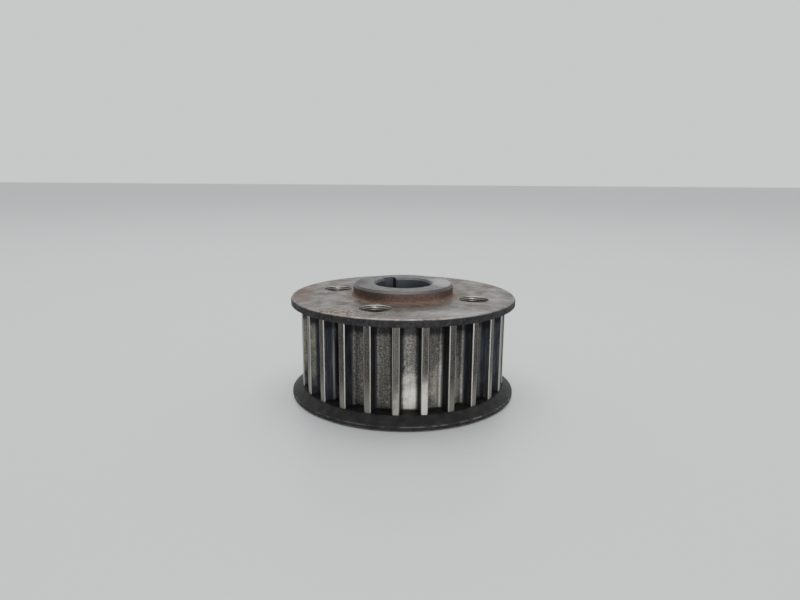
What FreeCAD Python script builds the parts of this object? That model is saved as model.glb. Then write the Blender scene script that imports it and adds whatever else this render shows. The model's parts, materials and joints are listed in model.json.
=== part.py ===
"""Toothed timing-belt pulley: one steel body between two guide flanges.

The body is a 25-tooth wheel for an 8 mm pitch belt with a keyed bore, a front boss and four
tapped holes.  A flat steel disc guides the belt at the front and a thin dished ring at the rear.
Frame: millimetres, the bore is the Z axis, Z = 0 is the rear face of the hub and +Z points out
of the front boss.  One tooth groove is centred on +X.
"""
import FreeCAD, Part
import math
import os
import re
import Sketcher

doc = FreeCAD.newDocument("timing_belt_pulley")

# --- driving dimensions -----------------------------------------------------------------------

DIMENSIONS = {
    # belt teeth
    "belt_pitch": "8",
    "tooth_count": "25",
    "pitch_line_offset": "0.686",
    "groove_depth": "3.7",
    "groove_width": "5.75",
    "groove_flank_angle": "8",
    "groove_corner_radius": "1.2",
    "tooth_tip_radius": "0.45",
    # lengths along the bore
    "flange_seat": "3.4",
    "tooth_face_width": "24.9",
    "boss_height": "3.4",
    # hub
    "bore_diameter": "17",
    "bore_chamfer": "0.6",
    "boss_diameter": "30.5",
    "boss_chamfer": "0.7",
    "register_diameter": "50",
    "register_chamfer": "0.6",
    # rolled lips that hold the flanges
    "front_lip_width": "0.35",
    "front_lip_height": "0.45",
    "front_lip_recess": "0.4",
    "rear_lip_width": "0.7",
    "rear_lip_height": "0.8",
    # keyway in the bore
    "keyway_width": "4",
    "keyway_depth": "2",
    "keyway_angle": "118.5",
    # tapped holes for four M8 bolts
    "bolt_count": "4",
    "bolt_circle": "44.4",
    "bolt_angle": "69.7",
    "thread_diameter": "8",
    "thread_chamfer_diameter": "9.2",
    "thread_hole_depth": "20",
    # front guide flange
    "front_flange_diameter": "68.2",
    "front_flange_thickness": "2.2",
    "front_flange_top_radius": "0.9",
    "front_flange_underside_radius": "0.25",
    "bolt_clearance_diameter": "9",
    "bolt_clearance_chamfer": "0.2",
    # rear guide flange
    "rear_flange_diameter": "68.6",
    "rear_flange_thickness": "1",
    "rear_flange_dish_drop": "2.05",
    "rear_flange_bend_radius": "31.4",
    "rear_flange_rim_height": "1.2",
    "rear_flange_edge_radius": "0.3",
    # play between a flange's hole and the shoulder that it is pressed on
    "press_play": "0.02",
}

sheet = doc.addObject("Spreadsheet::Sheet", "sizes")
for row, (name, value) in enumerate(DIMENSIONS.items(), start=1):
    sheet.set(f"A{row}", name)
    sheet.set(f"B{row}", value)
    sheet.setAlias(f"B{row}", name)

# Sizes that follow from the driving ones, as sheet formulas.
DERIVED = {
    "tip_radius": "=belt_pitch * tooth_count / (2 * pi) - pitch_line_offset",
    "root_radius": "=tip_radius - groove_depth",
    "front_face": "=flange_seat + tooth_face_width",
    "front_flange_top": "=front_face + front_flange_thickness",
    "boss_top": "=front_flange_top + boss_height",
    "rim_top": "=flange_seat - rear_flange_dish_drop",
}
for row, (name, formula) in enumerate(DERIVED.items(), start=len(DIMENSIONS) + 2):
    sheet.set(f"A{row}", name)
    sheet.set(f"B{row}", formula)
    sheet.setAlias(f"B{row}", name)
doc.recompute()


def cells(formula):
    """A formula over cell names, in the form that a sketch or a feature can be bound to."""
    return re.sub(r"[a-z]+(_[a-z]+)+", r"sizes.\g<0>", formula)


def number(formula):
    """The value of a formula over cell names."""
    return float(sheet.evalExpression(cells(formula)))


# --- sketch and feature helpers ---------------------------------------------------------------

POINT_START = 1
POINT_END = 2
POINT_CENTRE = 3
ORIGIN = (-1, 1)


def origin_feature(body, role):
    """One plane or axis of a body's own origin, such as XY_Plane or Z_Axis."""
    return next(feature for feature in body.Origin.OriginFeatures if feature.Role == role)


def new_body(label):
    """An empty PartDesign body whose label is the sub-part's name."""
    body = doc.addObject("PartDesign::Body", label)
    body.Label = label
    return body


def new_sketch(body, name, plane, height=None, angle=None):
    """A sketch on one of the body's origin planes, raised by height and turned by angle."""
    sketch = body.newObject("Sketcher::SketchObject", name)
    sketch.AttachmentSupport = [(origin_feature(body, plane), "")]
    sketch.MapMode = "FlatFace"
    if height:
        sketch.setExpression("AttachmentOffset.Base.z", cells(height))
    if angle:
        sketch.AttachmentOffset = FreeCAD.Placement(
            FreeCAD.Vector(0, 0, 0), FreeCAD.Rotation(FreeCAD.Vector(0, 0, 1), 1))
        sketch.setExpression("AttachmentOffset.Rotation.Angle", cells(angle))
    return sketch


def bind(sketch, constraint, formula):
    """Add one dimension to a sketch and bind it to a formula over the sheet."""
    index = sketch.addConstraint(constraint)
    sketch.setExpression(f"Constraints[{index}]", cells(formula))


def draw_outline(sketch, corners):
    """A closed outline of straight lines whose corners are pairs of formulas, each one bound."""
    points = [FreeCAD.Vector(number(across), number(along), 0) for across, along in corners]
    for start, end in zip(points, points[1:] + points[:1]):
        sketch.addGeometry(Part.LineSegment(start, end), False)
    for line in range(len(corners)):
        following = (line + 1) % len(corners)
        sketch.addConstraint(Sketcher.Constraint("Coincident", line, POINT_END, following, POINT_START))
    for line, (across, along) in enumerate(corners):
        to_corner = (*ORIGIN, line, POINT_START)
        bind(sketch, Sketcher.Constraint("DistanceX", *to_corner, points[line].x), across)
        bind(sketch, Sketcher.Constraint("DistanceY", *to_corner, points[line].y), along)


def draw_circle(sketch, radius, centre_distance=None):
    """A circle about the origin, or about a point on the sketch's X axis."""
    distance = number(centre_distance) if centre_distance else 0
    centre = FreeCAD.Vector(distance, 0, 0)
    circle = sketch.addGeometry(Part.Circle(centre, FreeCAD.Vector(0, 0, 1), number(radius)), False)
    bind(sketch, Sketcher.Constraint("Radius", circle, number(radius)), radius)
    if centre_distance:
        sketch.addConstraint(Sketcher.Constraint("PointOnObject", circle, POINT_CENTRE, -1))
        to_centre = (*ORIGIN, circle, POINT_CENTRE)
        bind(sketch, Sketcher.Constraint("DistanceX", *to_centre, distance), centre_distance)
    else:
        sketch.addConstraint(Sketcher.Constraint("Coincident", circle, POINT_CENTRE, *ORIGIN))


def new_pocket(body, name, sketch, reversed_cut=False, depth=None):
    """Cut a sketch through the whole body, or to a depth."""
    pocket = body.newObject("PartDesign::Pocket", name)
    pocket.Profile = sketch
    pocket.Reversed = reversed_cut
    if depth:
        pocket.Type = "Length"
        pocket.setExpression("Length", cells(depth))
    else:
        pocket.Type = "ThroughAll"
    return pocket


def new_revolution(body, name, sketch):
    """Turn a half section on the XZ plane once round the bore's axis."""
    revolution = body.newObject("PartDesign::Revolution", name)
    revolution.Profile = sketch
    revolution.ReferenceAxis = (sketch, ["V_Axis"])
    revolution.Angle = 360
    return revolution


def repeat_round_bore(body, name, feature, count):
    """Repeat a feature evenly round the bore's axis."""
    pattern = body.newObject("PartDesign::PolarPattern", name)
    pattern.Originals = [feature]
    pattern.Axis = (origin_feature(body, "Z_Axis"), [""])
    pattern.Angle = 360
    pattern.setExpression("Occurrences", cells(count))
    body.Tip = pattern
    doc.recompute()
    return pattern


def matching_edges(feature, accept):
    """The names of the edges of a feature that the function accept picks."""
    return [f"Edge{i}" for i, edge in enumerate(feature.Shape.Edges, start=1) if accept(edge)]


def round_edges(body, name, feature, edges, radius):
    """Round some edges of a feature."""
    fillet = body.newObject("PartDesign::Fillet", name)
    fillet.Base = (feature, edges)
    fillet.setExpression("Radius", cells(radius))
    body.Tip = fillet
    doc.recompute()
    return fillet


def chamfer_edges(body, name, feature, edges, width):
    """Cut some edges of a feature at 45 degrees."""
    chamfer = body.newObject("PartDesign::Chamfer", name)
    chamfer.Base = (feature, edges)
    chamfer.setExpression("Size", cells(width))
    body.Tip = chamfer
    doc.recompute()
    return chamfer


def upright_edge_at(radius):
    """A test for straight edges along the bore whose distance from its axis is radius."""
    def accept(edge):
        start, end = edge.Vertexes[0].Point, edge.Vertexes[-1].Point
        is_upright = abs(start.x - end.x) + abs(start.y - end.y) < 0.001 < abs(start.z - end.z)
        return is_upright and abs(math.hypot(start.x, start.y) - radius) < 0.01
    return accept


def circle_of(radius, height=None):
    """A test for full circles of one radius, at any height or at one."""
    def accept(edge):
        if not isinstance(edge.Curve, Part.Circle) or not edge.isClosed():
            return False
        is_level = height is None or abs(edge.Curve.Center.z - height) < 0.001
        return is_level and abs(edge.Curve.Radius - radius) < 0.001
    return accept


# --- pulley body ------------------------------------------------------------------------------


def make_pulley_body():
    """The toothed wheel with its hub, boss, keyed bore and tapped holes."""
    body = new_body("pulley_body")

    # Half section: rear register, rear lip, toothed rim, front lip, boss and bore.
    register = "register_diameter / 2"
    rear_lip = "register_diameter / 2 + rear_lip_width"
    rear_lip_top = "flange_seat - rear_flange_thickness"
    boss = "boss_diameter / 2"
    bore = "bore_diameter / 2"
    section = new_sketch(body, "body_section", "XZ_Plane")
    draw_outline(section, [
        (bore + " + bore_chamfer", "0"),
        (register + " - register_chamfer", "0"),
        (register, "register_chamfer"),
        (register, rear_lip_top + " - rear_lip_height"),
        (rear_lip, rear_lip_top + " - rear_lip_height / 2"),
        (rear_lip, rear_lip_top),
        (register, rear_lip_top),
        (register, "flange_seat"),
        ("tip_radius", "flange_seat"),
        ("tip_radius", "front_face"),
        (boss, "front_face"),
        (boss, "front_flange_top - front_lip_recess"),
        (boss + " + front_lip_width", "front_flange_top"),
        (boss, "front_flange_top + front_lip_height"),
        (boss, "boss_top - boss_chamfer"),
        (boss + " - boss_chamfer", "boss_top"),
        (bore + " + bore_chamfer", "boss_top"),
        (bore, "boss_top - bore_chamfer"),
        (bore, "bore_chamfer"),
    ])
    new_revolution(body, "turned_blank", section)
    doc.recompute()

    # One tooth groove: straight flanks that lean in towards a flat floor.
    slope = "tan(groove_flank_angle)"
    half_mouth = "groove_width / 2"
    outside = "tip_radius + tooth_tip_radius"
    mouth = f"({half_mouth} + tooth_tip_radius * {slope})"
    floor = f"({half_mouth} - groove_depth * {slope})"
    groove_sketch = new_sketch(body, "groove_outline", "XY_Plane")
    draw_outline(groove_sketch, [
        (outside, f"-1 * {mouth}"),
        (outside, mouth),
        ("root_radius", floor),
        ("root_radius", f"-1 * {floor}"),
    ])
    groove = new_pocket(body, "tooth_groove", groove_sketch, reversed_cut=True)
    doc.recompute()
    grooves = repeat_round_bore(body, "tooth_grooves", groove, "tooth_count")
    corner_distance = math.hypot(number("root_radius"), number(floor))
    corners = matching_edges(grooves, upright_edge_at(corner_distance))
    rounded_roots = round_edges(body, "groove_corners", grooves, corners, "groove_corner_radius")
    tips = matching_edges(rounded_roots, upright_edge_at(number("tip_radius")))
    rounded_tips = round_edges(body, "tooth_tips", rounded_roots, tips, "tooth_tip_radius")

    # Keyway along the whole bore.
    reach = "bore_diameter / 2 + keyway_depth"
    half_key = "keyway_width / 2"
    key_sketch = new_sketch(body, "keyway_outline", "XY_Plane", angle="keyway_angle")
    draw_outline(key_sketch, [
        ("0", f"-1 * {half_key}"),
        (reach, f"-1 * {half_key}"),
        (reach, half_key),
        ("0", half_key),
    ])
    keyway = new_pocket(body, "keyway", key_sketch, reversed_cut=True)
    doc.recompute()

    # One blind tapped hole with its lead-in, cut down from the front face, then all of them.
    hole_sketch = new_sketch(body, "hole_centre", "XY_Plane", "front_face", "bolt_angle")
    draw_circle(hole_sketch, "thread_diameter / 2", "bolt_circle / 2")
    doc.recompute()
    hole = body.newObject("PartDesign::Hole", "tapped_hole")
    hole.Profile = hole_sketch
    hole.DepthType = "Dimension"
    hole.DrillPoint = "Angled"
    hole.DrillPointAngle = 118
    hole.HoleCutType = "Countersink"
    hole.HoleCutCountersinkAngle = 90
    hole.setExpression("Diameter", cells("thread_diameter"))
    hole.setExpression("Depth", cells("thread_hole_depth"))
    hole.setExpression("HoleCutDiameter", cells("thread_chamfer_diameter"))
    doc.recompute()
    holes = repeat_round_bore(body, "tapped_holes", hole, "bolt_count")
    return body, [groove, grooves, rounded_tips, keyway, hole, holes]


# --- front guide flange -----------------------------------------------------------------------


def make_front_flange():
    """The flat disc over the boss, with a clearance hole over each tapped hole."""
    body = new_body("front_guide_flange")
    inside = "boss_diameter / 2 + press_play"
    top = number("front_flange_top")
    outline = new_sketch(body, "disc_outline", "XY_Plane", "front_face")
    draw_circle(outline, "front_flange_diameter / 2")
    draw_circle(outline, inside)
    disc = body.newObject("PartDesign::Pad", "disc")
    disc.Profile = outline
    disc.setExpression("Length", cells("front_flange_thickness"))
    doc.recompute()
    rim = number("front_flange_diameter / 2")
    top_edge = matching_edges(disc, circle_of(rim, top))
    rounded_top = round_edges(body, "disc_top_edge", disc, top_edge, "front_flange_top_radius")
    under_edge = matching_edges(rounded_top, circle_of(rim, number("front_face")))
    rounded = round_edges(
        body, "disc_underside_edge", rounded_top, under_edge, "front_flange_underside_radius")
    seat = matching_edges(rounded, circle_of(number(inside), top))
    recess = chamfer_edges(body, "lip_recess", rounded, seat, "front_lip_recess")

    hole_sketch = new_sketch(body, "clearance_centre", "XY_Plane", "front_face", "bolt_angle")
    draw_circle(hole_sketch, "bolt_clearance_diameter / 2", "bolt_circle / 2")
    hole = new_pocket(body, "clearance_hole", hole_sketch, reversed_cut=True)
    doc.recompute()
    holes = repeat_round_bore(body, "clearance_holes", hole, "bolt_count")
    mouths = matching_edges(holes, circle_of(number("bolt_clearance_diameter / 2"), top))
    broken = chamfer_edges(body, "clearance_hole_mouths", holes, mouths, "bolt_clearance_chamfer")
    return body, [rounded_top, rounded, recess, hole, holes, broken]


# --- rear guide flange ------------------------------------------------------------------------


def make_rear_flange():
    """The thin ring that sits flat behind the teeth and is dished away from the belt."""
    body = new_body("rear_guide_flange")
    inside = "register_diameter / 2 + press_play"
    outside = "rear_flange_diameter / 2"
    run = f"({outside} - rear_flange_bend_radius)"
    dish_angle = f"atan(rear_flange_dish_drop / {run})"
    inner_bend = f"rear_flange_bend_radius - rear_flange_thickness * tan({dish_angle} / 2)"
    section = new_sketch(body, "ring_section", "XZ_Plane")
    draw_outline(section, [
        (inside, "flange_seat - rear_flange_thickness"),
        (inner_bend, "flange_seat - rear_flange_thickness"),
        (outside, "rim_top - rear_flange_rim_height"),
        (outside, "rim_top"),
        ("rear_flange_bend_radius", "flange_seat"),
        (inside, "flange_seat"),
    ])
    ring = new_revolution(body, "dished_ring", section)
    doc.recompute()
    rim = matching_edges(ring, circle_of(number(outside)))
    rounded = round_edges(body, "ring_edge", ring, rim, "rear_flange_edge_radius")
    return body, [rounded]


# --- make, check and write --------------------------------------------------------------------

made = [make_pulley_body(), make_front_flange(), make_rear_flange()]
doc.recompute()

for item in doc.Objects:
    if "Invalid" in item.State or "Error" in item.State:
        raise RuntimeError(f"{item.Name} failed: {item.State}")

os.makedirs("parts", exist_ok=True)
for body, cuts in made:
    for cut in cuts:
        if cut.Shape.Volume >= cut.BaseFeature.Shape.Volume - 0.01:
            raise RuntimeError(f"{cut.Name} removed nothing")
    if body.Shape.isNull() or not body.Shape.isValid() or len(body.Shape.Solids) != 1:
        raise RuntimeError(f"{body.Label} is not one sound solid")
    body.Shape.exportStep(f"parts/{body.Label}.step")
    box = body.Shape.optimalBoundingBox(False)
    print(f"{body.Label}: {body.Shape.Volume:.0f} cubic mm, {box.XLength:.2f} x {box.YLength:.2f} mm "
          f"across, Z {box.ZMin:.2f} to {box.ZMax:.2f}")
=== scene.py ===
# %% [markdown]
# # A used timing belt pulley
#
# The pulley comes from a CAD model, and this file gives it its looks. The shapes are fixed: three steel
# pieces, which are the toothed body, the flat front guide flange and the dished rear guide flange. What
# is left to do is what makes steel look like a part with a history: sintered pores, belt-polished
# teeth, dirt in the grooves, rust that creeps out from the boss, and real threads in the bolt holes.

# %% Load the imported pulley
import json
import math
import bmesh
import bpy
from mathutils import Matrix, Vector

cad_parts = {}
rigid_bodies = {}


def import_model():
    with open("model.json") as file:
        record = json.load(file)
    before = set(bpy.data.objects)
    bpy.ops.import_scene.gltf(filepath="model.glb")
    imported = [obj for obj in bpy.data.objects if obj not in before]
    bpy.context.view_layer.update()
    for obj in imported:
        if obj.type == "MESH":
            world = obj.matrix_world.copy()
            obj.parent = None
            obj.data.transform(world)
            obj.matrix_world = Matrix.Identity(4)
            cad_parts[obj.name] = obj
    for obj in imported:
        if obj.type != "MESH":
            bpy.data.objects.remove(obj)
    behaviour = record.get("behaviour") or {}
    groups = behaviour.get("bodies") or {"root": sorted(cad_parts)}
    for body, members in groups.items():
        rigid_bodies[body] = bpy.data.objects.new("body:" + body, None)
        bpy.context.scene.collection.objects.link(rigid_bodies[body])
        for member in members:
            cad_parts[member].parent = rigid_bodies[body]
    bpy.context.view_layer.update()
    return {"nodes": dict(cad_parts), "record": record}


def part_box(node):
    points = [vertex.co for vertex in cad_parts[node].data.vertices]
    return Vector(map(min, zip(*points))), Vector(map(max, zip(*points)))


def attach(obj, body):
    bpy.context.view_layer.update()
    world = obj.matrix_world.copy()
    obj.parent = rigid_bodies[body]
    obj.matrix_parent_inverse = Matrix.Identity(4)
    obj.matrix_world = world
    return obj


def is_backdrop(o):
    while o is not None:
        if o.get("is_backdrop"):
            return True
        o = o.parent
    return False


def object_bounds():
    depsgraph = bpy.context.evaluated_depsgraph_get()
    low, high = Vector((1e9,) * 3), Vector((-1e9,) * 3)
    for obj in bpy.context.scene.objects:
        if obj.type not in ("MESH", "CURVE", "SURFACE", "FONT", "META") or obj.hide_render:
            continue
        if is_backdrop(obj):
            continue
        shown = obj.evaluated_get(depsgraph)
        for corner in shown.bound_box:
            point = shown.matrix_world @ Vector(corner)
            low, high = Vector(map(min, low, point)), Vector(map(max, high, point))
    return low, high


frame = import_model()
print("CAD pieces:", ", ".join(sorted(frame["nodes"])))

# %% [markdown]
# ## Sizes, read from the CAD model
#
# Blender works in metres and machinists in millimetres, so one constant turns one into the other. The
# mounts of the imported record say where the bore, the boss and the bolt holes are, and each CAD piece
# says how high it reaches. Reading them here keeps every mask and every new piece on the real surface.

# %% Sizes of the wheel
MM = 0.001
GROOVE_DEPTH = 3.7

mounts = {mount["name"]: mount for mount in frame["record"]["mounts"]}
bore_radius = mounts["bore"]["dims"]["r_mm"]
boss_radius = mounts["front_register"]["dims"]["r_mm"]
tip_radius = mounts["belt_teeth"]["pos_m"][0] / MM
root_radius = tip_radius - GROOVE_DEPTH

boss_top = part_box("pulley_body")[1].z / MM
hub_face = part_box("front_guide_flange")[0].z / MM
flange_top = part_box("front_guide_flange")[1].z / MM
flange_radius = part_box("front_guide_flange")[1].x / MM
rear_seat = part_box("rear_guide_flange")[1].z / MM
rear_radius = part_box("rear_guide_flange")[1].x / MM
print(f"tips {tip_radius:.2f} mm, front flange {flange_radius:.2f} mm, boss top {boss_top:.2f} mm")

# %% [markdown]
# The bolt holes are where the record has openings for bolts. Their middles give the bolt circle, and the
# first one gives the angle that the circle is turned by.

# %% Places of the bolt holes
openings = frame["record"]["physics"]["openings"]
bolt_boxes = [opening["box_m"] for opening in openings if opening["name"].startswith("bolt_hole")]
bolt_centres = [Vector(((low[0] + high[0]) / 2, (low[1] + high[1]) / 2)) / MM for low, high in bolt_boxes]
bolt_circle_radius = mounts["bolt_circle"]["dims"]["pcd_mm"] / 2
thread_radius = mounts["bolt_circle"]["dims"]["hole_r_mm"]
bolt_angle = math.atan2(bolt_centres[0].y, bolt_centres[0].x)
print(f"{len(bolt_centres)} bolt holes on a {bolt_circle_radius:.1f} mm radius, "
      f"the first at {math.degrees(bolt_angle):.1f} degrees")

# %% [markdown]
# ## Colours and nodes
#
# Colours are easiest to pick as the hex values that a colour picker shows, but shaders add light, so
# they need linear values. One function turns the first into the second. A second small function adds
# a shader node, sets its options and connects its inputs, and hands back the output to connect next.

# %% Colour and node helpers
def linear(hex_colour):
    """An sRGB hex colour as the linear red, green, blue and alpha that shaders use."""
    channels = [int(hex_colour[i:i + 2], 16) / 255 for i in (1, 3, 5)]
    curved = [c / 12.92 if c <= 0.04045 else ((c + 0.055) / 1.055) ** 2.4 for c in channels]
    return (*curved, 1.0)


def add_node(tree, kind, inputs=None, output=0, **settings):
    """Add one node, set its options and inputs (a value, hex colour or socket), return an output."""
    node = tree.nodes.new("ShaderNode" + kind)
    for name, value in settings.items():
        setattr(node, name, value)
    for name, value in (inputs or {}).items():
        if isinstance(value, bpy.types.NodeSocket):
            tree.links.new(value, node.inputs[name])
        elif isinstance(value, str):
            node.inputs[name].default_value = linear(value)
        else:
            node.inputs[name].default_value = value
    return node.outputs[output]


# %% [markdown]
# A worn surface is read from the inside out: the metal first, then everything that came over it. So its
# colour is built the same way, as coats. A coat has a share, which is 0 where it leaves things bare and
# 1 where it hides them, and in between what is underneath shines through. Each loop below lays the coats
# of one finish, in order.
#
# Blender's Mix node holds the sockets of every type at once, so its sockets are called by number. Naming
# those numbers, and the settings that come back again and again, keeps the materials readable.

# %% Names for the settings that repeat
MIX_BY = 0
NUMBER_A = 2
NUMBER_B = 3
COLOUR_A = 6
COLOUR_B = 7
COLOUR_RESULT = 2
COLOUR = {"output": COLOUR_RESULT, "data_type": "RGBA"}
SOFT = {"interpolation_type": "SMOOTHSTEP"}
TIMES = {"operation": "MULTIPLY"}
PLUS = {"operation": "ADD"}
LARGER = {"operation": "MAXIMUM"}

# %% [markdown]
# ## Where a point lies on the wheel
#
# A turned part wears by radius, height and the way a face looks: tooth tips are rubbed by the belt,
# groove flanks collect dirt, bores stay dark. So every material starts from the same few measures in
# millimetres. They come from the object's own coordinates, which never slide when the camera moves.
# The four bolt holes sit a quarter turn apart, so turning them onto the diagonals and dropping the signs
# folds all four onto one, and a single distance serves every hole.

# %% Measures shared by the materials
EIGHTH_TURN = math.pi / 4
CLOUD_SIZE = 3.0


def wheel_measures(tree):
    """Sockets for a point's place in mm, how its face looks, and its distance from a bolt hole."""
    object_place = add_node(tree, "TexCoord", output="Object")
    place = add_node(tree, "VectorMath", {0: object_place, "Scale": 1 / MM}, operation="SCALE")
    flat = add_node(tree, "VectorMath", {0: place, 1: (1, 1, 0)}, **TIMES)
    outward = add_node(tree, "VectorMath", {0: flat}, operation="NORMALIZE")
    normal = add_node(tree, "NewGeometry", output="Normal")
    on_diagonals = add_node(tree, "VectorRotate", {"Vector": flat, "Angle": EIGHTH_TURN - bolt_angle},
                            rotation_type="Z_AXIS")
    folded = add_node(tree, "VectorMath", {0: on_diagonals}, operation="ABSOLUTE")
    diagonal = bolt_circle_radius * math.cos(EIGHTH_TURN)
    return {
        "place": place,
        "outward": outward,
        "radius": add_node(tree, "VectorMath", {0: flat}, "Value", operation="LENGTH"),
        "height": add_node(tree, "SeparateXYZ", {0: place}, "Z"),
        "out": add_node(tree, "VectorMath", {0: normal, 1: outward}, "Value", operation="DOT_PRODUCT"),
        "up": add_node(tree, "SeparateXYZ", {0: normal}, "Z"),
        "from_hole": add_node(tree, "VectorMath", {0: folded, 1: (diagonal, diagonal, 0)}, "Value",
                              operation="DISTANCE"),
        "cloud": add_node(tree, "TexNoise", {"Vector": place, "Scale": 1 / CLOUD_SIZE, "Detail": 4,
                                             "Roughness": 0.6}),
    }


# %% [markdown]
# A mask says where a finish lies. Most are a measure between two limits: 0 at the first, 1 at the second,
# and a soft border between. Writing them as rows of a table keeps each pair of limits beside its name.
#
# Stains and worn patches have no neat outline. This helper makes one: an ellipse whose edge is pushed
# in and out by the cloud noise. It is 1 in the middle and fades to 0, so it can drive any mix.

# %% Ragged patches
RAGGEDNESS = 1.2
PATCH_EDGE = 1.75
PATCH_FULL = 0.9


def patch(tree, wheel, centre, size):
    """A soft ragged patch about a point of the wheel, with its three half sizes, all in mm."""
    from_centre = add_node(tree, "VectorMath", {0: wheel["place"], 1: centre}, operation="SUBTRACT")
    scaled = add_node(tree, "VectorMath", {0: from_centre, 1: size}, operation="DIVIDE")
    distance = add_node(tree, "VectorMath", {0: scaled}, "Value", operation="LENGTH")
    ragged = add_node(tree, "Math", {0: wheel["cloud"], 1: RAGGEDNESS, 2: distance},
                      operation="MULTIPLY_ADD")
    return add_node(tree, "MapRange", {"Value": ragged, "From Min": PATCH_EDGE, "From Max": PATCH_FULL},
                    **SOFT)


# %% [markdown]
# Every material starts the same way, empty but for its shader and its output. Every CAD piece gets
# exactly one, on a mesh that stays as it came.

# %% A new material, and a piece that wears it
def new_material(name):
    """A named material with an empty node tree, its shader and its output."""
    material = bpy.data.materials.new(name)
    material.use_nodes = True
    tree = material.node_tree
    tree.nodes.clear()
    shader = tree.nodes.new("ShaderNodeBsdfPrincipled")
    output = tree.nodes.new("ShaderNodeOutputMaterial")
    tree.links.new(shader.outputs["BSDF"], output.inputs["Surface"])
    return material, tree, shader


def dress(node_name, material):
    """Give a CAD piece one material, without touching its mesh."""
    piece = frame["nodes"][node_name]
    piece.data.materials.clear()
    piece.data.materials.append(material)
    print(f"{node_name}: {material.name}, {len(piece.data.polygons)} faces")


# %% [markdown]
# ## Sintered steel of the toothed body
#
# The body is pressed from steel powder and baked, which leaves a grey, finely pitted skin. On top of
# that comes its life: the belt polishes the tooth lands, rubber dust blackens the groove flanks, damp
# rusts the boss, and oil keeps the bore blue-black. Painting all that by hand on a mesh of this size
# would take days and a set of image maps. Masks worked out from radius, height and facing do it exactly,
# at any distance, so this material is a stack of masks over bare steel.
#
# First the masks for the toothed rim. A land is what looks outwards at the tip radius, its two rounded
# edges look a little sideways, a floor looks outwards at the root, and the rest of a groove is flank.

# %% Sintered steel: masks for the teeth
material, tree, shader = new_material("sintered_steel")
wheel = wheel_measures(tree)
tooth_masks = {}
for name, (measure, start, full) in {
    "rim": ("radius", root_radius - 0.8, root_radius - 0.4),
    "tip": ("radius", tip_radius - 0.4, tip_radius - 0.1),
    "looks_side": ("out", 0.9, 0.4),
    "rounded_edge": ("out", 0.96, 0.86),
    "above_root": ("radius", root_radius + 0.9, root_radius + 0.3),
    "lip": ("radius", root_radius + 1.4, root_radius + 2.2),
    "floor_reflection_low": ("height", rear_seat + 11, rear_seat),
    "front_corner": ("height", hub_face - 4.6, hub_face - 3.0),
    "rear_corner": ("height", rear_seat + 0.8, rear_seat + 0.1),
}.items():
    limits = {"Value": wheel[measure], "From Min": start, "From Max": full}
    tooth_masks[name] = add_node(tree, "MapRange", limits, **SOFT)
land = add_node(tree, "Math", {0: tooth_masks["rim"], 1: tooth_masks["tip"]}, **TIMES)
polished_and_lit_edge = add_node(tree, "Math", {0: land, 1: tooth_masks["rounded_edge"]}, **TIMES)
groove = add_node(tree, "Math", {0: tooth_masks["rim"], 1: tooth_masks["tip"]}, operation="SUBTRACT")
flank = add_node(tree, "Math", {0: groove, 1: tooth_masks["looks_side"]}, **TIMES)
print("masks on the teeth:", ", ".join(tooth_masks))

# %% [markdown]
# The foot of a flank and the two ends of a groove are special. The rounded foot gets a paler painted
# highlight at half strength, and the corners under both flanges get painted shade.

# %% Sintered steel: foot and ends of a groove
FOOT_HIGHLIGHT_SHARE = 0.5
CORNER_SHADE_SHARE = 0.8
# Painted highlight on the rounded foot of each flank.
painted_foot_highlight = add_node(tree, "Math", {0: flank, 1: tooth_masks["above_root"]}, **TIMES)
painted_foot_highlight = add_node(tree, "Math", {0: painted_foot_highlight, 1: FOOT_HIGHLIGHT_SHARE}, **TIMES)
# Painted shade in the groove corners under both flanges.
painted_corner_shade = add_node(tree, "Math", {0: tooth_masks["front_corner"], 1: tooth_masks["rear_corner"]},
                       **LARGER)
painted_corner_shade = add_node(tree, "Math", {0: painted_corner_shade, 1: groove}, **TIMES)
painted_corner_shade = add_node(tree, "Math", {0: painted_corner_shade, 1: CORNER_SHADE_SHARE}, **TIMES)

# %% [markdown]
# Next the masks for the hub: the boss that stands in front of the flange, its side, the bore, and the
# tapped holes. A tenth or two of a millimetre between the limits keeps a border crisp without a jagged
# edge, and there a straight ramp does as well as a soft one.

# %% Sintered steel: masks for the hub
hub_masks = {}
for name, (measure, start, full) in {
    "looks_level": ("up", 0.65, 0.4),
    "chamfer": ("up", 0.92, 0.8),
    "boss_foot": ("height", flange_top + 1.5, flange_top + 0.5),
}.items():
    limits = {"Value": wheel[measure], "From Min": start, "From Max": full}
    hub_masks[name] = add_node(tree, "MapRange", limits, **SOFT)
for name, (measure, start, full) in {
    "above_flange": ("height", flange_top - 0.5, flange_top - 0.4),
    "outer_boss": ("radius", boss_radius - 1.0, boss_radius - 0.5),
    "bore_and_key": ("radius", bore_radius + 2.6, bore_radius + 2.4),
    "beside_bore": ("radius", bore_radius + 0.02, bore_radius + 0.1),
    "looks_across": ("out", -0.75, -0.5),
    "lead_in": ("radius", bore_radius + 0.65, bore_radius + 0.55),
    "bolt_hole": ("from_hole", thread_radius + 0.8, thread_radius + 0.6),
}.items():
    limits = {"Value": wheel[measure], "From Min": start, "From Max": full}
    hub_masks[name] = add_node(tree, "MapRange", limits)
boss_wall = add_node(tree, "Math", {0: hub_masks["above_flange"], 1: hub_masks["outer_boss"]}, **TIMES)
side_or_foot = add_node(tree, "Math", {0: hub_masks["looks_level"], 1: hub_masks["boss_foot"]}, **LARGER)
boss_side = add_node(tree, "Math", {0: boss_wall, 1: side_or_foot}, **TIMES)
in_bore = add_node(tree, "Math", {0: hub_masks["bore_and_key"], 1: hub_masks["looks_level"]}, **TIMES)
key_wall = add_node(tree, "Math", {0: hub_masks["beside_bore"], 1: hub_masks["looks_across"]}, **TIMES)
key_floor = add_node(tree, "Math", {0: hub_masks["beside_bore"], 1: key_wall}, operation="SUBTRACT")
print("masks on the hub:", ", ".join(hub_masks))

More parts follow.
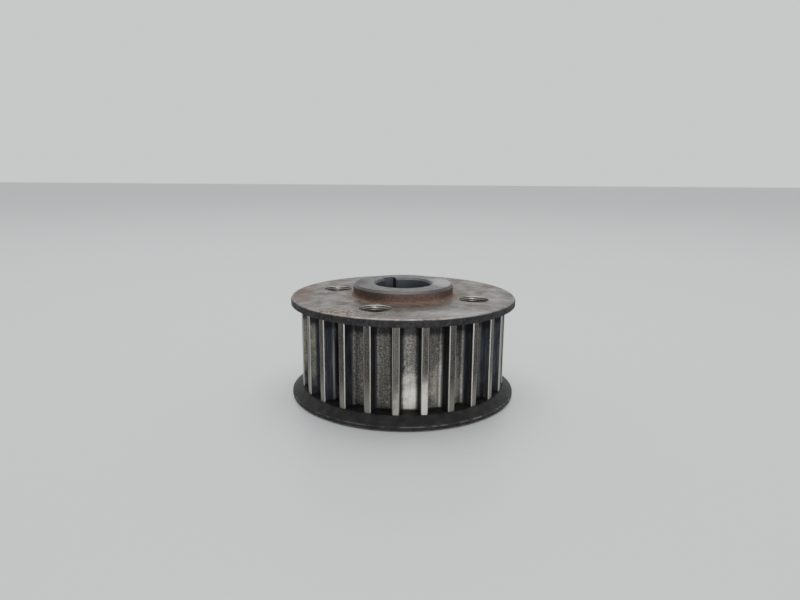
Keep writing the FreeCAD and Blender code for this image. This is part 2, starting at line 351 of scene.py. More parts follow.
# %% [markdown]
# Noise breaks up every surface, each kind at its real size in millimetres. The press leaves grains and
# pores of about a quarter of a millimetre, drawn here a little coarser so that they show. The belt leaves
# streaks that run along the bore, made by squeezing the noise's third axis. Rust has a grain of its own.
# Each groove has its own share of dirt, from a noise that only knows which way a point lies from the
# bore, so it stays the same from front to rear. A direction has no size, so that one is a plain number.

# %% Sintered steel: noise
PORE = 0.42
STREAK = 0.4
STREAK_STRETCH = 0.06
PATCH = 1.7
GROOVE_CHANGE = 7.0
RUST_GRAIN = 0.7
along = add_node(tree, "VectorMath", {0: wheel["place"], 1: (1, 1, STREAK_STRETCH)}, **TIMES)
noise = {
    "pores": add_node(tree, "TexNoise", {"Vector": wheel["place"], "Scale": 1 / PORE, "Detail": 4,
                                         "Roughness": 0.7}),
    "patches": add_node(tree, "TexNoise", {"Vector": wheel["place"], "Scale": 1 / PATCH, "Detail": 5}),
    "streaks": add_node(tree, "TexNoise", {"Vector": along, "Scale": 1 / STREAK, "Detail": 3}),
    "by_groove": add_node(tree, "TexNoise", {"Vector": wheel["outward"], "Scale": GROOVE_CHANGE,
                                             "Detail": 1}),
    "rust": add_node(tree, "TexNoise", {"Vector": wheel["place"], "Scale": 1 / RUST_GRAIN, "Detail": 6,
                                        "Roughness": 0.7}),
}
marks = {}
for name, (measure, start, full) in {
    "grains": ("pores", 0.36, 0.66),
    "mottled": ("patches", 0.35, 0.65),
    "streaked": ("streaks", 0.35, 0.65),
    "scoured": ("streaks", 0.45, 0.75),
    "groove_share": ("by_groove", 0.35, 0.65),
    "rusted": ("rust", 0.4, 0.68),
}.items():
    limits = {"Value": noise[measure], "From Min": start, "From Max": full}
    marks[name] = add_node(tree, "MapRange", limits)
print("marks on the body:", ", ".join(marks))

# %% [markdown]
# Now the colours. Bare sintered steel is mid grey and speckled, and the groove floors stay like that,
# except near the rear flange, where a few of them in front carry a pale, streaked painted reflection of the
# bright floor, and in one groove at the left, which is nearly black.

# %% Sintered steel: groove floors
FLOOR_DIRT = 0.55
RIGHT_REFLECTION_SHARE = 0.4
floor_dirt = add_node(tree, "Math", {0: marks["groove_share"], 1: FLOOR_DIRT}, **TIMES)
# Painted reflection: pale streaked steel on the front floors near the rear flange, where the bright floor
# mirrors in them.
floor_reflection_front = patch(tree, wheel, (2.2, -29, 3), (6.5, 8, 12.5))
floor_reflection_right = patch(tree, wheel, (13, -26, 8), (7, 8, 14))
floor_reflection_right = add_node(tree, "Math", {0: floor_reflection_right, 1: RIGHT_REFLECTION_SHARE}, **TIMES)
floor_reflection = add_node(tree, "Math", {0: floor_reflection_front, 1: floor_reflection_right}, **LARGER)
dark_floor = patch(tree, wheel, (-19, -20, 16), (3, 3, 18))
reflected_floor_colour = "#c9c7ba"
for share, coat in ((marks["grains"], "#fffdf0"), (marks["scoured"], "#b1afa3")):
    reflected_floor_colour = add_node(tree, "Mix", {MIX_BY: share, COLOUR_A: reflected_floor_colour, COLOUR_B: coat}, **COLOUR)
floors = "#403f3d"
for share, coat in ((marks["grains"], "#908e89"), (marks["scoured"], "#5b5a57"), (floor_dirt, "#3b3a37"),
                    (floor_reflection, reflected_floor_colour), (dark_floor, "#2c2b2d")):
    floors = add_node(tree, "Mix", {MIX_BY: share, COLOUR_A: floors, COLOUR_B: coat}, **COLOUR)

# %% [markdown]
# The lands are darker and smoother. Pale grains still show in them. Towards the rear flange they get paler,
# and the middle lands in front palest, as a painted reflection of the bright floor. Their rounded edges are
# bright, partly as polish where the belt bends over them and partly as a painted highlight.

# %% Sintered steel: lands
WORN_GRAINS = 0.5
worn_grains = add_node(tree, "Math", {0: marks["grains"], 1: WORN_GRAINS}, **TIMES)
# Painted reflection: lands paler towards the rear flange and palest low in front, where the bright floor
# mirrors.
land_floor_reflection = patch(tree, wheel, (4.5, -31, 3), (7, 6, 12))
lands = "#2c2b29"
for share, coat in ((marks["streaked"], "#53514d"), (worn_grains, "#7c7a74"),
                    (tooth_masks["floor_reflection_low"], "#8a8880"), (land_floor_reflection, "#d8d5ca")):
    lands = add_node(tree, "Mix", {MIX_BY: share, COLOUR_A: lands, COLOUR_B: coat}, **COLOUR)
colour = floors
# Painted highlight: both rounded edges of every land are painted bright, partly standing for belt polish.
for share, coat in ((land, lands), (polished_and_lit_edge, "#b3b1aa")):
    colour = add_node(tree, "Mix", {MIX_BY: share, COLOUR_A: colour, COLOUR_B: coat}, **COLOUR)

# %% [markdown]
# The flanks hold black rubber dust, bluish in some grooves and brown in others. On the two sides of the
# wheel the flanks are painted lighter, as painted light where they turn towards the front, and far to the
# left an olive-tinted painted sheen covers the outer part of the flanks. It stops just short of the root,
# where a thin painted highlight runs, palest in one groove.

# %% Sintered steel: flanks
# Painted light: flanks on the two sides of the wheel, turned towards the front, are painted lighter.
lit_flanks_left = patch(tree, wheel, (-20, -20, 16), (9, 9, 17))
lit_flanks_right = patch(tree, wheel, (25, -15, 16), (8, 9, 17))
lit_flanks = add_node(tree, "Math", {0: lit_flanks_left, 1: lit_flanks_right}, **LARGER)
# Painted sheen: an olive-tinted lighter coat on the outer flanks far to the left.
olive_sheen_left = patch(tree, wheel, (-25.5, -13.5, 17), (2.5, 3.5, 16))
olive_sheen_far_left = patch(tree, wheel, (-29.5, -6, 17), (3, 4, 18))
olive_sheen = add_node(tree, "Math", {0: olive_sheen_left, 1: olive_sheen_far_left}, **LARGER)
olive_sheen = add_node(tree, "Math", {0: olive_sheen, 1: tooth_masks["lip"]}, **TIMES)
lit_flank_colour = add_node(tree, "Mix", {MIX_BY: marks["scoured"], COLOUR_A: "#40434a", COLOUR_B: "#63676b"},
                     **COLOUR)
olive_sheen_colour = add_node(tree, "Mix", {MIX_BY: marks["grains"], COLOUR_A: "#7d7b6f", COLOUR_B: "#b3b1a3"},
                      **COLOUR)
dust = "#30323b"
for share, coat in ((marks["groove_share"], "#292724"), (marks["scoured"], "#474a50"), (lit_flanks, lit_flank_colour),
                    (olive_sheen, olive_sheen_colour)):
    dust = add_node(tree, "Mix", {MIX_BY: share, COLOUR_A: dust, COLOUR_B: coat}, **COLOUR)
# Painted highlight: a thin pale line along the root, palest in one groove.
root_highlight = patch(tree, wheel, (-20.5, -18.5, 13), (3, 4, 15))
root_highlight = add_node(tree, "Math", {0: root_highlight, 1: painted_foot_highlight}, **TIMES)
for share, coat in ((flank, dust), (painted_foot_highlight, "#6b7078"), (root_highlight, "#c5ced6"),
                    (painted_corner_shade, "#232226")):
    colour = add_node(tree, "Mix", {MIX_BY: share, COLOUR_A: colour, COLOUR_B: coat}, **COLOUR)

# %% [markdown]
# The boss has its own story. Its side rusted where the flange traps damp, deep brown above and more
# orange at the foot, palest in front and darkest at the left, where it stayed wet longest.

# %% Sintered steel: rust on the boss
PALE_SHARE = 0.25
DAMP_SHARE = 0.6
pale_foot = patch(tree, wheel, (5, -14, 32), (12, 6, 4))
pale_foot = add_node(tree, "Math", {0: pale_foot, 1: PALE_SHARE}, **TIMES)
damp_foot = patch(tree, wheel, (-10, -12, 32), (6, 7, 5))
damp_foot = add_node(tree, "Math", {0: damp_foot, 1: DAMP_SHARE}, **TIMES)
orange_rust = add_node(tree, "Mix", {MIX_BY: marks["rusted"], COLOUR_A: "#5b473e", COLOUR_B: "#876d5f"},
                       **COLOUR)
rust = "#453836"
for share, coat in ((marks["rusted"], "#705b54"), (hub_masks["boss_foot"], orange_rust),
                    (pale_foot, "#9a8376"), (damp_foot, "#42352f")):
    rust = add_node(tree, "Mix", {MIX_BY: share, COLOUR_A: rust, COLOUR_B: coat}, **COLOUR)

# %% [markdown]
# The boss's top face was turned on a lathe and stayed grey, cleanest on one side and stained on the other,
# with a chamfer round it that has a stain of its own. The bore and its keyway are oiled, dark and slightly
# blue, with the keyway's floor painted lighter as painted light and its side walls darker as painted shade.
# The walls of the tapped holes are still bright from the tap.

# %% Sintered steel: top face and bore
bright_side = patch(tree, wheel, (12.5, 1.5, 34), (5, 9, 9))
dark_side = patch(tree, wheel, (-14, 1, 34), (3.5, 7, 9))
chamfer_stain = patch(tree, wheel, (14.5, -1, 33.5), (2.5, 5, 6))
chamfer = add_node(tree, "Mix", {MIX_BY: chamfer_stain, COLOUR_A: "#5d5b58", COLOUR_B: "#3d3c34"}, **COLOUR)
turned_top = "#4c4b4a"
for share, coat in ((marks["mottled"], "#6c6b69"), (bright_side, "#989796"), (dark_side, "#3c3b39"),
                    (hub_masks["chamfer"], chamfer)):
    turned_top = add_node(tree, "Mix", {MIX_BY: share, COLOUR_A: turned_top, COLOUR_B: coat}, **COLOUR)
oiled_bore_and_key_shading = "#666a71"
# Painted light and shade: the keyway floor is painted lighter and its side walls darker.
for share, coat in ((key_floor, "#7b7f85"), (key_wall, "#44464b")):
    oiled_bore_and_key_shading = add_node(tree, "Mix", {MIX_BY: share, COLOUR_A: oiled_bore_and_key_shading, COLOUR_B: coat}, **COLOUR)
for share, coat in ((hub_masks["above_flange"], turned_top), (boss_side, rust),
                    (hub_masks["lead_in"], "#55585b"), (in_bore, oiled_bore_and_key_shading),
                    (hub_masks["bolt_hole"], "#77746e")):
    colour = add_node(tree, "Mix", {MIX_BY: share, COLOUR_A: colour, COLOUR_B: coat}, **COLOUR)
tree.links.new(colour, shader.inputs["Base Color"])

# %% [markdown]
# Dirt, oil and rust aren't metal: where they lie, the metallic value drops and the roughness rises. Dust
# covers about half of a flank's steel and oil less than half of the bore's. Lands are polished, and the
# raised grains of the skin are a little smoother than the pits between them.

# %% Sintered steel: shine
DUST_COVERS = 0.6
OIL_COVERS = 0.4
METALLIC_UNDER_RUST = 0.05
LAND_ROUGHNESS = {"To Min": 0.3, "To Max": 0.45}
SKIN_ROUGHNESS = {"To Min": 0.6, "To Max": 0.4}
REFLECTION_PATCH_ROUGHNESS = 0.38
RUST_ROUGHNESS = 0.8
dusty_flank = add_node(tree, "Math", {0: flank, 1: DUST_COVERS}, **TIMES)
oil_film = add_node(tree, "Math", {0: in_bore, 1: OIL_COVERS}, **TIMES)
covered = add_node(tree, "Math", {0: dusty_flank, 1: boss_side}, **LARGER)
covered = add_node(tree, "Math", {0: covered, 1: oil_film}, **LARGER)
metallic = add_node(tree, "MapRange", {"Value": covered, "To Min": 1.0, "To Max": METALLIC_UNDER_RUST})
tree.links.new(metallic, shader.inputs["Metallic"])
land_roughness = add_node(tree, "MapRange", {"Value": marks["streaked"], **LAND_ROUGHNESS})
skin_roughness = add_node(tree, "MapRange", {"Value": marks["grains"], **SKIN_ROUGHNESS})
roughness = add_node(tree, "Mix", {MIX_BY: land, NUMBER_A: skin_roughness, NUMBER_B: land_roughness})
# The patch of painted floor reflection is also a little smoother.
roughness = add_node(tree, "Mix", {MIX_BY: floor_reflection, NUMBER_A: roughness, NUMBER_B: REFLECTION_PATCH_ROUGHNESS})
roughness = add_node(tree, "Mix", {MIX_BY: covered, NUMBER_A: roughness, NUMBER_B: RUST_ROUGHNESS})
tree.links.new(roughness, shader.inputs["Roughness"])

# %% [markdown]
# The pores and the rust also press into the surface as bump, so that they catch the light and don't look
# drawn on. The face of the boss gets rings as well: a lathe tool leaves one ring each turn, drawn here
# some three times too wide, because real ones are too fine to show from a hand's length away.

# %% Sintered steel: bump
PORE_DEPTH = 0.05
RUST_DEPTH = 0.08
TOOL_FEED = 0.45
TOOL_DEPTH = 0.01
bump = add_node(tree, "Bump", {"Height": noise["pores"], "Distance": PORE_DEPTH * MM, "Strength": 0.7})
bump = add_node(tree, "Bump", {"Height": noise["rust"], "Distance": RUST_DEPTH * MM,
                               "Strength": boss_side, "Normal": bump})
turned_face = add_node(tree, "Math", {0: hub_masks["above_flange"], 1: wheel["up"]}, **TIMES)
turns = add_node(tree, "Math", {0: wheel["radius"], 1: 2 * math.pi / TOOL_FEED}, **TIMES)
tool_marks = add_node(tree, "Math", {0: turns}, operation="SINE")
bump = add_node(tree, "Bump", {"Height": tool_marks, "Distance": TOOL_DEPTH * MM,
                               "Strength": turned_face, "Normal": bump})
tree.links.new(bump, shader.inputs["Normal"])
dress("pulley_body", material)

# %% [markdown]
# ## Rusted sheet steel of the front flange
#
# The front flange is a disc punched from bare sheet. It has no plating, so a thin brown bloom covers it,
# heavier near the boss and at the left edge, and thin enough for grey steel to show where other parts
# rubbed on it. Its rim is painted darker as painted shade, with a bright line along its corner that is
# partly wear and partly a painted highlight. A bloom is a blend of two things, metal and rust, so the
# material mixes both by one measure, how rusty a point is.

# %% Rusted sheet steel: places
HOLE_RADIUS = 4.5
material, tree, shader = new_material("rusted_sheet_steel")
wheel = wheel_measures(tree)
disc_masks = {}
for name, (measure, start, full) in {
    "looks_side": ("up", 0.97, 0.35),
    "rim": ("radius", flange_radius - 1.1, flange_radius - 0.7),
    "corner_low": ("up", 0.55, 0.8),
    "corner_high": ("up", 0.995, 0.93),
    "boss_bloom": ("radius", boss_radius + 4.0, boss_radius + 0.4),
    "rust_ring": ("radius", boss_radius + 2.2, boss_radius + 0.9),
    "hole_depth_shade": ("height", flange_top - 0.8, flange_top - 2.0),
}.items():
    limits = {"Value": wheel[measure], "From Min": start, "From Max": full}
    disc_masks[name] = add_node(tree, "MapRange", limits, **SOFT)
hole_wall = add_node(tree, "MapRange", {"Value": wheel["from_hole"], "From Min": HOLE_RADIUS + 0.1,
                                        "From Max": HOLE_RADIUS + 0.02})
rim = add_node(tree, "Math", {0: disc_masks["looks_side"], 1: disc_masks["rim"]}, **TIMES)
corner = add_node(tree, "Math", {0: disc_masks["corner_low"], 1: disc_masks["corner_high"]}, **TIMES)
corner = add_node(tree, "Math", {0: corner, 1: disc_masks["rim"]}, **TIMES)
print("masks on the front flange:", ", ".join(disc_masks))

# %% [markdown]
# Four sizes of noise go over the disc. Blotches of about five millimetres are where hands and oil have
# been, mottles half that size are thin and thick bloom, millimetre spots are where rust started to bite
# in, and the smallest specks are bare metal that shows through again at one edge. Rust really has grains
# much finer than that, but seen along the disc they would blur into one tone.

# %% Rusted sheet steel: noise
BLOTCH = 5.0
MOTTLE = 2.6
FINE_RUST = 0.9
SPECK = 0.8
noise = {
    "blotches": add_node(tree, "TexNoise", {"Vector": wheel["place"], "Scale": 1 / BLOTCH, "Detail": 5,
                                            "Roughness": 0.6}),
    "mottles": add_node(tree, "TexNoise", {"Vector": wheel["place"], "Scale": 1 / MOTTLE, "Detail": 5,
                                           "Roughness": 0.65}),
    "fine": add_node(tree, "TexNoise", {"Vector": wheel["place"], "Scale": 1 / FINE_RUST, "Detail": 3}),
    "specks": add_node(tree, "TexNoise", {"Vector": wheel["place"], "Scale": 1 / SPECK, "Detail": 2}),
}
marks = {}
for name, (measure, start, full) in {
    "blotched": ("blotches", 0.38, 0.62),
    "mottled": ("mottles", 0.35, 0.68),
    "streaked": ("fine", 0.4, 0.65),
}.items():
    limits = {"Value": noise[measure], "From Min": start, "From Max": full}
    marks[name] = add_node(tree, "MapRange", limits)
for name, (measure, start, full) in {
    "spotted": ("fine", 0.48, 0.82),
    "speckled": ("specks", 0.5, 0.72),
}.items():
    limits = {"Value": noise[measure], "From Min": start, "From Max": full}
    marks[name] = add_node(tree, "MapRange", limits, **SOFT)
print("marks on the front flange:", ", ".join(marks))

# %% [markdown]
# The colours go on in the order in which they happened. First comes grey-brown sheet with the two places
# that other parts rubbed clean. Then comes the bloom: round the boss, over the left edge and along the
# front, thinner or thicker with the mottles.

# %% Rusted sheet steel: steel and bloom
WORN_LESS = 0.35
THICKNESS = {"From Min": 0.35, "From Max": 0.6, "To Min": 0.35}
worn_front = patch(tree, wheel, (13, -27, 30), (16, 5.5, 9))
worn_right = patch(tree, wheel, (27, -8, 30), (5, 12, 9))
worn_right = add_node(tree, "Math", {0: worn_right, 1: WORN_LESS}, **TIMES)
worn = add_node(tree, "Math", {0: worn_front, 1: worn_right}, **LARGER)
worn_steel = add_node(tree, "Mix", {MIX_BY: marks["mottled"], COLOUR_A: "#a09d99", COLOUR_B: "#76726d"},
                      **COLOUR)
left_bloom = patch(tree, wheel, (-33, -2, 30), (9, 15, 9))
front_bloom = patch(tree, wheel, (-20, -26, 30), (13, 4, 9))
bloom = add_node(tree, "Math", {0: left_bloom, 1: front_bloom}, **LARGER)
bloom = add_node(tree, "Math", {0: bloom, 1: disc_masks["boss_bloom"]}, **LARGER)
thickness = add_node(tree, "MapRange", {"Value": noise["mottles"], **THICKNESS})
bloom = add_node(tree, "Math", {0: bloom, 1: thickness}, **TIMES)
rust = add_node(tree, "Mix", {MIX_BY: marks["mottled"], COLOUR_A: "#42352e", COLOUR_B: "#775e4c"}, **COLOUR)
colour = "#3d3a37"
for share, coat in ((marks["blotched"], "#747270"), (marks["mottled"], "#74675c"),
                    (marks["spotted"], "#241f1b"), (worn, worn_steel), (bloom, rust)):
    colour = add_node(tree, "Mix", {MIX_BY: share, COLOUR_A: colour, COLOUR_B: coat}, **COLOUR)

# %% [markdown]
# Over the bloom come the bare specks at the front left edge and the ring next to the boss, which is the
# rustiest. Last come the rim, painted nearly black as painted shade, its corner, bright partly from wear
# and partly as a painted highlight, and the punched walls of the holes, bright at the top and darker
# further down as painted shade.

# %% Rusted sheet steel: specks, ring, rim and hole walls
RING_HIDES = 0.75
speck_edge = patch(tree, wheel, (-18, -26, 30), (15, 6, 9))
specks = add_node(tree, "Math", {0: marks["speckled"], 1: speck_edge}, **TIMES)
thin_ring = add_node(tree, "Math", {0: disc_masks["rust_ring"], 1: RING_HIDES}, **TIMES)
ring_rust = add_node(tree, "Mix", {MIX_BY: marks["mottled"], COLOUR_A: "#675b53", COLOUR_B: "#866f5e"},
                     **COLOUR)
# Painted shade: the rim's side is painted nearly black.
rim_shade_colour = add_node(tree, "Mix", {MIX_BY: marks["streaked"], COLOUR_A: "#1c1b1d", COLOUR_B: "#353234"},
                      **COLOUR)
# Painted highlight along the corner, partly standing for wear.
corner_wear_and_highlight = add_node(tree, "Math", {0: corner, 1: marks["mottled"]}, **TIMES)
# Painted shade: the hole walls darken further down.
wall_and_depth_shade = add_node(tree, "Mix", {MIX_BY: disc_masks["hole_depth_shade"], COLOUR_A: "#c2bfb8", COLOUR_B: "#403c38"},
                       **COLOUR)
for share, coat in ((specks, "#b9b49f"), (thin_ring, ring_rust), (rim, rim_shade_colour),
                    (corner_wear_and_highlight, "#9a9794"), (hole_wall, wall_and_depth_shade)):
    colour = add_node(tree, "Mix", {MIX_BY: share, COLOUR_A: colour, COLOUR_B: coat}, **COLOUR)
tree.links.new(colour, shader.inputs["Base Color"])

# %% [markdown]
# Bloom and the black rim take away the metal's shine, and the blotches make it vary even where it's
# clean. The punch burnished the walls of the holes, so they are the shiniest part, with a glint in the
# middle and dark ends.

# %% Rusted sheet steel: shine
WALL_DULLNESS = 0.2
WALL_ROUGHNESS = 0.3
METALLIC = {"To Min": 0.9, "To Max": 0.2}
ROUGHNESS = {"To Min": 0.42, "To Max": 0.7}
HANDLING = {"From Min": 0.38, "From Max": 0.62, "To Min": 0.1, "To Max": -0.08}
dull_wall = add_node(tree, "Math", {0: hole_wall, 1: WALL_DULLNESS}, **TIMES)
covered = add_node(tree, "Math", {0: bloom, 1: rim}, **LARGER)
covered = add_node(tree, "Math", {0: covered, 1: disc_masks["rust_ring"]}, **LARGER)
covered = add_node(tree, "Math", {0: covered, 1: dull_wall}, **LARGER)
metallic = add_node(tree, "MapRange", {"Value": covered, **METALLIC})
tree.links.new(metallic, shader.inputs["Metallic"])
roughness = add_node(tree, "MapRange", {"Value": covered, **ROUGHNESS})
handling = add_node(tree, "MapRange", {"Value": noise["blotches"], **HANDLING})
roughness = add_node(tree, "Math", {0: roughness, 1: handling}, **PLUS)
roughness = add_node(tree, "Mix", {MIX_BY: hole_wall, NUMBER_A: roughness, NUMBER_B: WALL_ROUGHNESS})
tree.links.new(roughness, shader.inputs["Roughness"])

# %% [markdown]
# The thick mottles stand up a little from the steel. The punch also dragged lines across the walls of
# the holes. Those are the only relief here that follows the height, so a sine of the height draws them,
# deep enough to flash as the edge of a real hole does.

# %% Rusted sheet steel: bump
BLOOM_DEPTH = 0.05
PUNCH_LINE = 0.7
PUNCH_DEPTH = 0.04
bump = add_node(tree, "Bump", {"Height": noise["mottles"], "Distance": BLOOM_DEPTH * MM, "Strength": 0.5})
turns = add_node(tree, "Math", {0: wheel["height"], 1: 2 * math.pi / PUNCH_LINE}, **TIMES)
punch_lines = add_node(tree, "Math", {0: turns}, operation="SINE")
bump = add_node(tree, "Bump", {"Height": punch_lines, "Distance": PUNCH_DEPTH * MM,
                               "Strength": hole_wall, "Normal": bump})
tree.links.new(bump, shader.inputs["Normal"])
dress("front_guide_flange", material)

# %% [markdown]
# ## Blackened sheet steel of the rear flange
#
# The rear flange was pressed to a shallow dish and blackened in a hot salt bath. That leaves a skin of
# black iron oxide a thousandth of a millimetre thick, which isn't paint and has no gloss of its own. It
# reflects little, so the specular level is low. Dust lies on it in patches of two or three millimetres.
# The skin only wears where the rim knocks against things, so steel shows along the rim in chips of about
# two millimetres. On the right the chips are at full strength, as a painted highlight of the rim, and
# elsewhere they are fainter.

# %% Blackened sheet steel: worn rim and its painted highlight
CHIP = 2.2
CHIPPED = {"From Min": 0.45, "From Max": 0.62, "To Min": 0.12}
LEAST_HIGHLIGHT_SHARE = 0.35
material, tree, shader = new_material("blackened_sheet_steel")
wheel = wheel_measures(tree)
rim_masks = {}
for name, (measure, start, full) in {
    "edge_low": ("up", 0.1, 0.4),
    "edge_high": ("up", 0.9, 0.7),
    "rim": ("radius", rear_radius - 0.4, rear_radius - 0.2),
}.items():
    limits = {"Value": wheel[measure], "From Min": start, "From Max": full}
    rim_masks[name] = add_node(tree, "MapRange", limits, **SOFT)
chips = add_node(tree, "TexNoise", {"Vector": wheel["place"], "Scale": 1 / CHIP, "Detail": 3})
chipped = add_node(tree, "MapRange", {"Value": chips, **CHIPPED}, **SOFT)
# Painted highlight: the rim chips are strongest on the right.
lit_right_side = patch(tree, wheel, (22, -26, 2), (20, 14, 6))
right_highlight_share = add_node(tree, "MapRange", {"Value": lit_right_side, "To Min": LEAST_HIGHLIGHT_SHARE})
worn = add_node(tree, "Math", {0: rim_masks["edge_low"], 1: rim_masks["edge_high"]}, **TIMES)
for share in (rim_masks["rim"], chipped, right_highlight_share):
    worn = add_node(tree, "Math", {0: worn, 1: share}, **TIMES)
print(f"rim chips of about {CHIP} mm at a radius of {rear_radius:.1f} mm")

# %% [markdown]
# Where the skin has worn the steel is bare, so colour, metallic and roughness all follow that one mask.

# %% Blackened sheet steel: colour and shine
DUST = 2.6
DUSTY = {"From Min": 0.4, "From Max": 0.7}
METALLIC = {"To Min": 0.0, "To Max": 0.9}
ROUGHNESS = {"To Min": 0.62, "To Max": 0.35}
OXIDE_SPECULAR = 0.25
dust = add_node(tree, "TexNoise", {"Vector": wheel["place"], "Scale": 1 / DUST, "Detail": 6})
dusty = add_node(tree, "MapRange", {"Value": dust, **DUSTY})
colour = "#232323"
for share, coat in ((dusty, "#363433"), (worn, "#8d8a86")):
    colour = add_node(tree, "Mix", {MIX_BY: share, COLOUR_A: colour, COLOUR_B: coat}, **COLOUR)
tree.links.new(colour, shader.inputs["Base Color"])
metallic = add_node(tree, "MapRange", {"Value": worn, **METALLIC})
tree.links.new(metallic, shader.inputs["Metallic"])
roughness = add_node(tree, "MapRange", {"Value": worn, **ROUGHNESS})
tree.links.new(roughness, shader.inputs["Roughness"])
shader.inputs["Specular IOR Level"].default_value = OXIDE_SPECULAR
dress("rear_guide_flange", material)

# %% [markdown]
# ## Threads in the four bolt holes
#
# The CAD model leaves each tapped hole as a plain bore at the thread's outside diameter. The thread's
# ridge is what a bolt grips and what glitters in the hole. A Screw modifier could make it, but its ends
# would stop dead. Here each ridge is swept along a helix section by section, so that it can fade in at
# the mouth and out at the bottom, as a tap leaves it.

# %% One section of a thread ridge
THREAD_PITCH = 1.25
RIDGE_BASE = THREAD_PITCH * 7 / 8
RIDGE_CREST = THREAD_PITCH / 4
RIDGE_HEIGHT = 0.68
SINK = 0.02


def ridge_section(angle, middle, share):
    """Four corners of a ridge across its helix, at an angle in the hole and a height, in mm."""
    outwards = Vector((math.cos(angle), math.sin(angle), 0))
    foot = thread_radius + SINK
    crest = thread_radius - RIDGE_HEIGHT * share
    corners = [(foot, RIDGE_BASE / 2), (crest, RIDGE_CREST / 2),
               (crest, -RIDGE_CREST / 2), (foot, -RIDGE_BASE / 2)]
    return [outwards * radius + Vector((0, 0, middle + lift * share)) for radius, lift in corners]


# %% [markdown]
# A right-hand thread turns clockwise as it goes down into the hole. Each section is joined to the next by
# four faces, and the first and the last are closed. Corners sharper than the given angle stay crisp, and
# the long turns between them are shaded smooth.

# %% Thread ridges
THREAD_TURNS = 12
SECTIONS_PER_TURN = 36
FADE_SECTIONS = 18
THINNEST = 0.02
LEAD_IN = 0.75
SHARP_ANGLE = 30


def make_thread(name, centre):
    """One right-hand thread ridge, wound down a bolt hole from just below its mouth."""
    mesh = bmesh.new()
    sections = []
    last = THREAD_TURNS * SECTIONS_PER_TURN
    offset = Vector((centre.x, centre.y, 0))
    for step in range(last + 1):
        angle = -2 * math.pi * step / SECTIONS_PER_TURN
        middle = hub_face - LEAD_IN - THREAD_PITCH * step / SECTIONS_PER_TURN
        share = max(THINNEST, min(1, step / FADE_SECTIONS, (last - step) / FADE_SECTIONS))
        corners = ridge_section(angle, middle, share)
        sections.append([mesh.verts.new((corner + offset) * MM) for corner in corners])
    for one, following in zip(sections, sections[1:]):
        for corner in range(3):
            mesh.faces.new((one[corner], one[corner + 1], following[corner + 1], following[corner]))
        mesh.faces.new((one[3], one[0], following[0], following[3]))
    mesh.faces.new(sections[0])
    mesh.faces.new(reversed(sections[-1]))
    bmesh.ops.recalc_face_normals(mesh, faces=mesh.faces)
    data = bpy.data.meshes.new(name)
    mesh.to_mesh(data)
    mesh.free()
    data.shade_smooth()
    data.set_sharp_from_angle(angle=math.radians(SHARP_ANGLE))
    piece = bpy.data.objects.new(name, data)
    bpy.context.collection.objects.link(piece)
    return piece


# %% [markdown]
# A tap cuts these ridges last of all, after any other treatment, so their steel is the cleanest on the
# part: smooth, metallic and bright, and only dimmed where old oil has gathered between the turns.

# %% Tapped steel
OILY = {"From Min": 0.4, "From Max": 0.65}
ROUGHNESS = {"To Min": 0.2, "To Max": 0.4}
material, tree, shader = new_material("tapped_steel")
wheel = wheel_measures(tree)
oil = add_node(tree, "MapRange", {"Value": wheel["cloud"], **OILY})
colour = add_node(tree, "Mix", {MIX_BY: oil, COLOUR_A: "#b3b0aa", COLOUR_B: "#5a554f"}, **COLOUR)
tree.links.new(colour, shader.inputs["Base Color"])
shader.inputs["Metallic"].default_value = 1.0
roughness = add_node(tree, "MapRange", {"Value": oil, **ROUGHNESS})
tree.links.new(roughness, shader.inputs["Roughness"])
for number, centre in enumerate(bolt_centres, start=1):
    thread = make_thread(f"bolt_thread_{number}", centre)
    thread.data.materials.append(material)
    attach(thread, "root")
print(f"{len(bolt_centres)} threads of {THREAD_TURNS} turns")

# %% [markdown]
# ## Floor, light and camera
#
# The pulley stands on a plain pale floor, so big that its far edge looks like a horizon. A single even
# colour is right here, since the floor is only there to receive the shadow and to send soft light back
# up. It lies a hundredth of a millimetre low, because two faces at exactly one height flicker where they
# meet.

# %% Floor
FLOOR_SIZE = 6.0
FLOOR_GAP = 0.01 * MM
FLOOR_ROUGHNESS = 0.35
bpy.ops.mesh.primitive_plane_add(size=FLOOR_SIZE, location=(0, 0, -FLOOR_GAP))
floor = bpy.context.object
floor.name = "floor"
material, tree, shader = new_material("pale_floor")
shader.inputs["Base Color"].default_value = linear("#e6e7e8")
shader.inputs["Roughness"].default_value = FLOOR_ROUGHNESS
floor.data.materials.append(material)
floor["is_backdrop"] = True
print(f"floor {FLOOR_SIZE:.0f} m wide")

# %% [markdown]
# Metal shows its surroundings more than its own colour, so the room matters more than the lamps. It is
# brighter behind the pulley than in front: the flat flange then mirrors the bright back wall, while the
# upright teeth mirror the dimmer front, as they do on a bench by a window.

# %% Room
ROOM_FRONT = 0.38
ROOM_BACK = 1.25
BACK_WALL = 0.85
world = bpy.data.worlds.new("pale_room")
bpy.context.scene.world = world
world.use_nodes = True
tree = world.node_tree
background = tree.nodes["Background"]
direction = add_node(tree, "TexCoord", output="Generated")
backwards = add_node(tree, "SeparateXYZ", {0: direction}, "Y")
strength = add_node(tree, "MapRange", {"Value": backwards, "From Min": 0.0, "From Max": BACK_WALL,
                                       "To Min": ROOM_FRONT, "To Max": ROOM_BACK}, **SOFT)
background.inputs["Color"].default_value = linear("#eef1f2")
tree.links.new(strength, background.inputs["Strength"])
print(f"room {ROOM_FRONT} bright in front and {ROOM_BACK} behind")

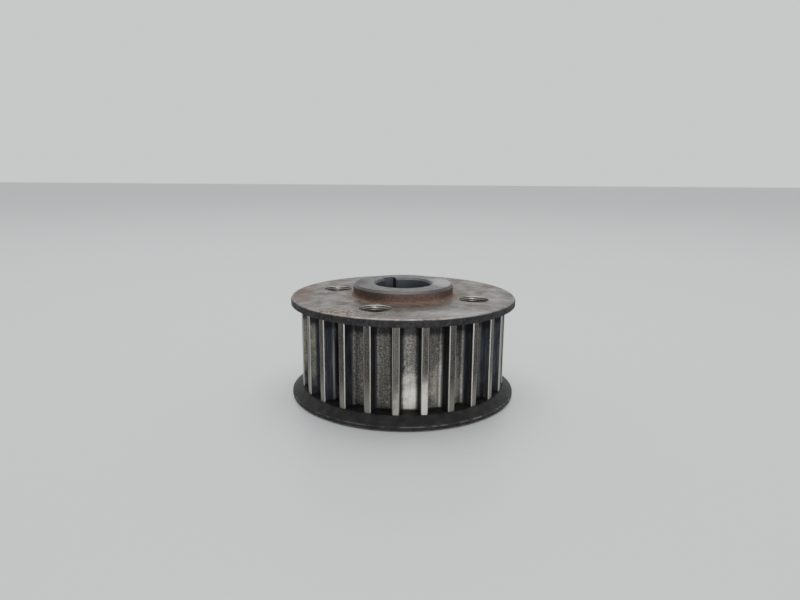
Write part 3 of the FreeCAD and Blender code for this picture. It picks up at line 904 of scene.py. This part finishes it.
# %% [markdown]
# Two softboxes light the pulley besides the room. A large one overhead softens the shadow, and a small
# one in front draws the bright lines on the edges of the teeth. Each row gives a place, the point that
# the light is turned towards, a width in metres and a power in watts.

# %% Softboxes
SOFTBOXES = {
    "top_softbox": ((0.0, 0.1, 0.8), (0, 0, 0), 0.8, 6),
    "front_softbox": ((0.1, -0.9, 0.12), (0, 0, 0.02), 0.3, 3),
}
for name, (place, aim, width, power) in SOFTBOXES.items():
    light = bpy.data.lights.new(name, "AREA")
    light.size = width
    light.energy = power
    lamp = bpy.data.objects.new(name, light)
    lamp.location = place
    lamp.rotation_euler = (Vector(aim) - Vector(place)).to_track_quat("-Z", "Y").to_euler()
    bpy.context.collection.objects.link(lamp)
    print(f"{name}: {width} m wide, {power} W")

# %% [markdown]
# The camera stands where a person would hold it, a hand's length in front of the pulley and a hand's
# width above the floor, looking slightly down. From so close, the near side of the wheel looks clearly
# bigger than the far side. It is tipped by less than half a degree about its own axis. Turning in the
# order ZYX does that without also swinging the view sideways.

# %% Camera
CAMERA_PLACE = (-0.00096, -0.18385, 0.06723)
CAMERA_PITCH = 11.918
CAMERA_ROLL = 0.40
SENSOR_WIDTH = 36.0
LENS = 27.37
CLIP_START = 0.01
camera_data = bpy.data.cameras.new("camera")
camera_data.sensor_width = SENSOR_WIDTH
camera_data.lens = LENS
camera_data.clip_start = CLIP_START
camera = bpy.data.objects.new("camera", camera_data)
camera.location = CAMERA_PLACE
camera.rotation_mode = "ZYX"
camera.rotation_euler = (math.radians(90 - CAMERA_PITCH), 0, math.radians(CAMERA_ROLL))
bpy.context.collection.objects.link(camera)
bpy.context.scene.camera = camera
print(f"camera {-CAMERA_PLACE[1] / MM:.0f} mm in front and {CAMERA_PLACE[2] / MM:.0f} mm up")

# %% [markdown]
# Last, the size of the finished model is printed. The threads lie inside the bolt holes, so it must be the
# same as that of the bare CAD pieces.

# %% Sizes and finish
visual_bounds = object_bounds()
low, high = visual_bounds
print("finished size in mm:", ", ".join(f"{(high[i] - low[i]) / MM:.1f}" for i in range(3)))
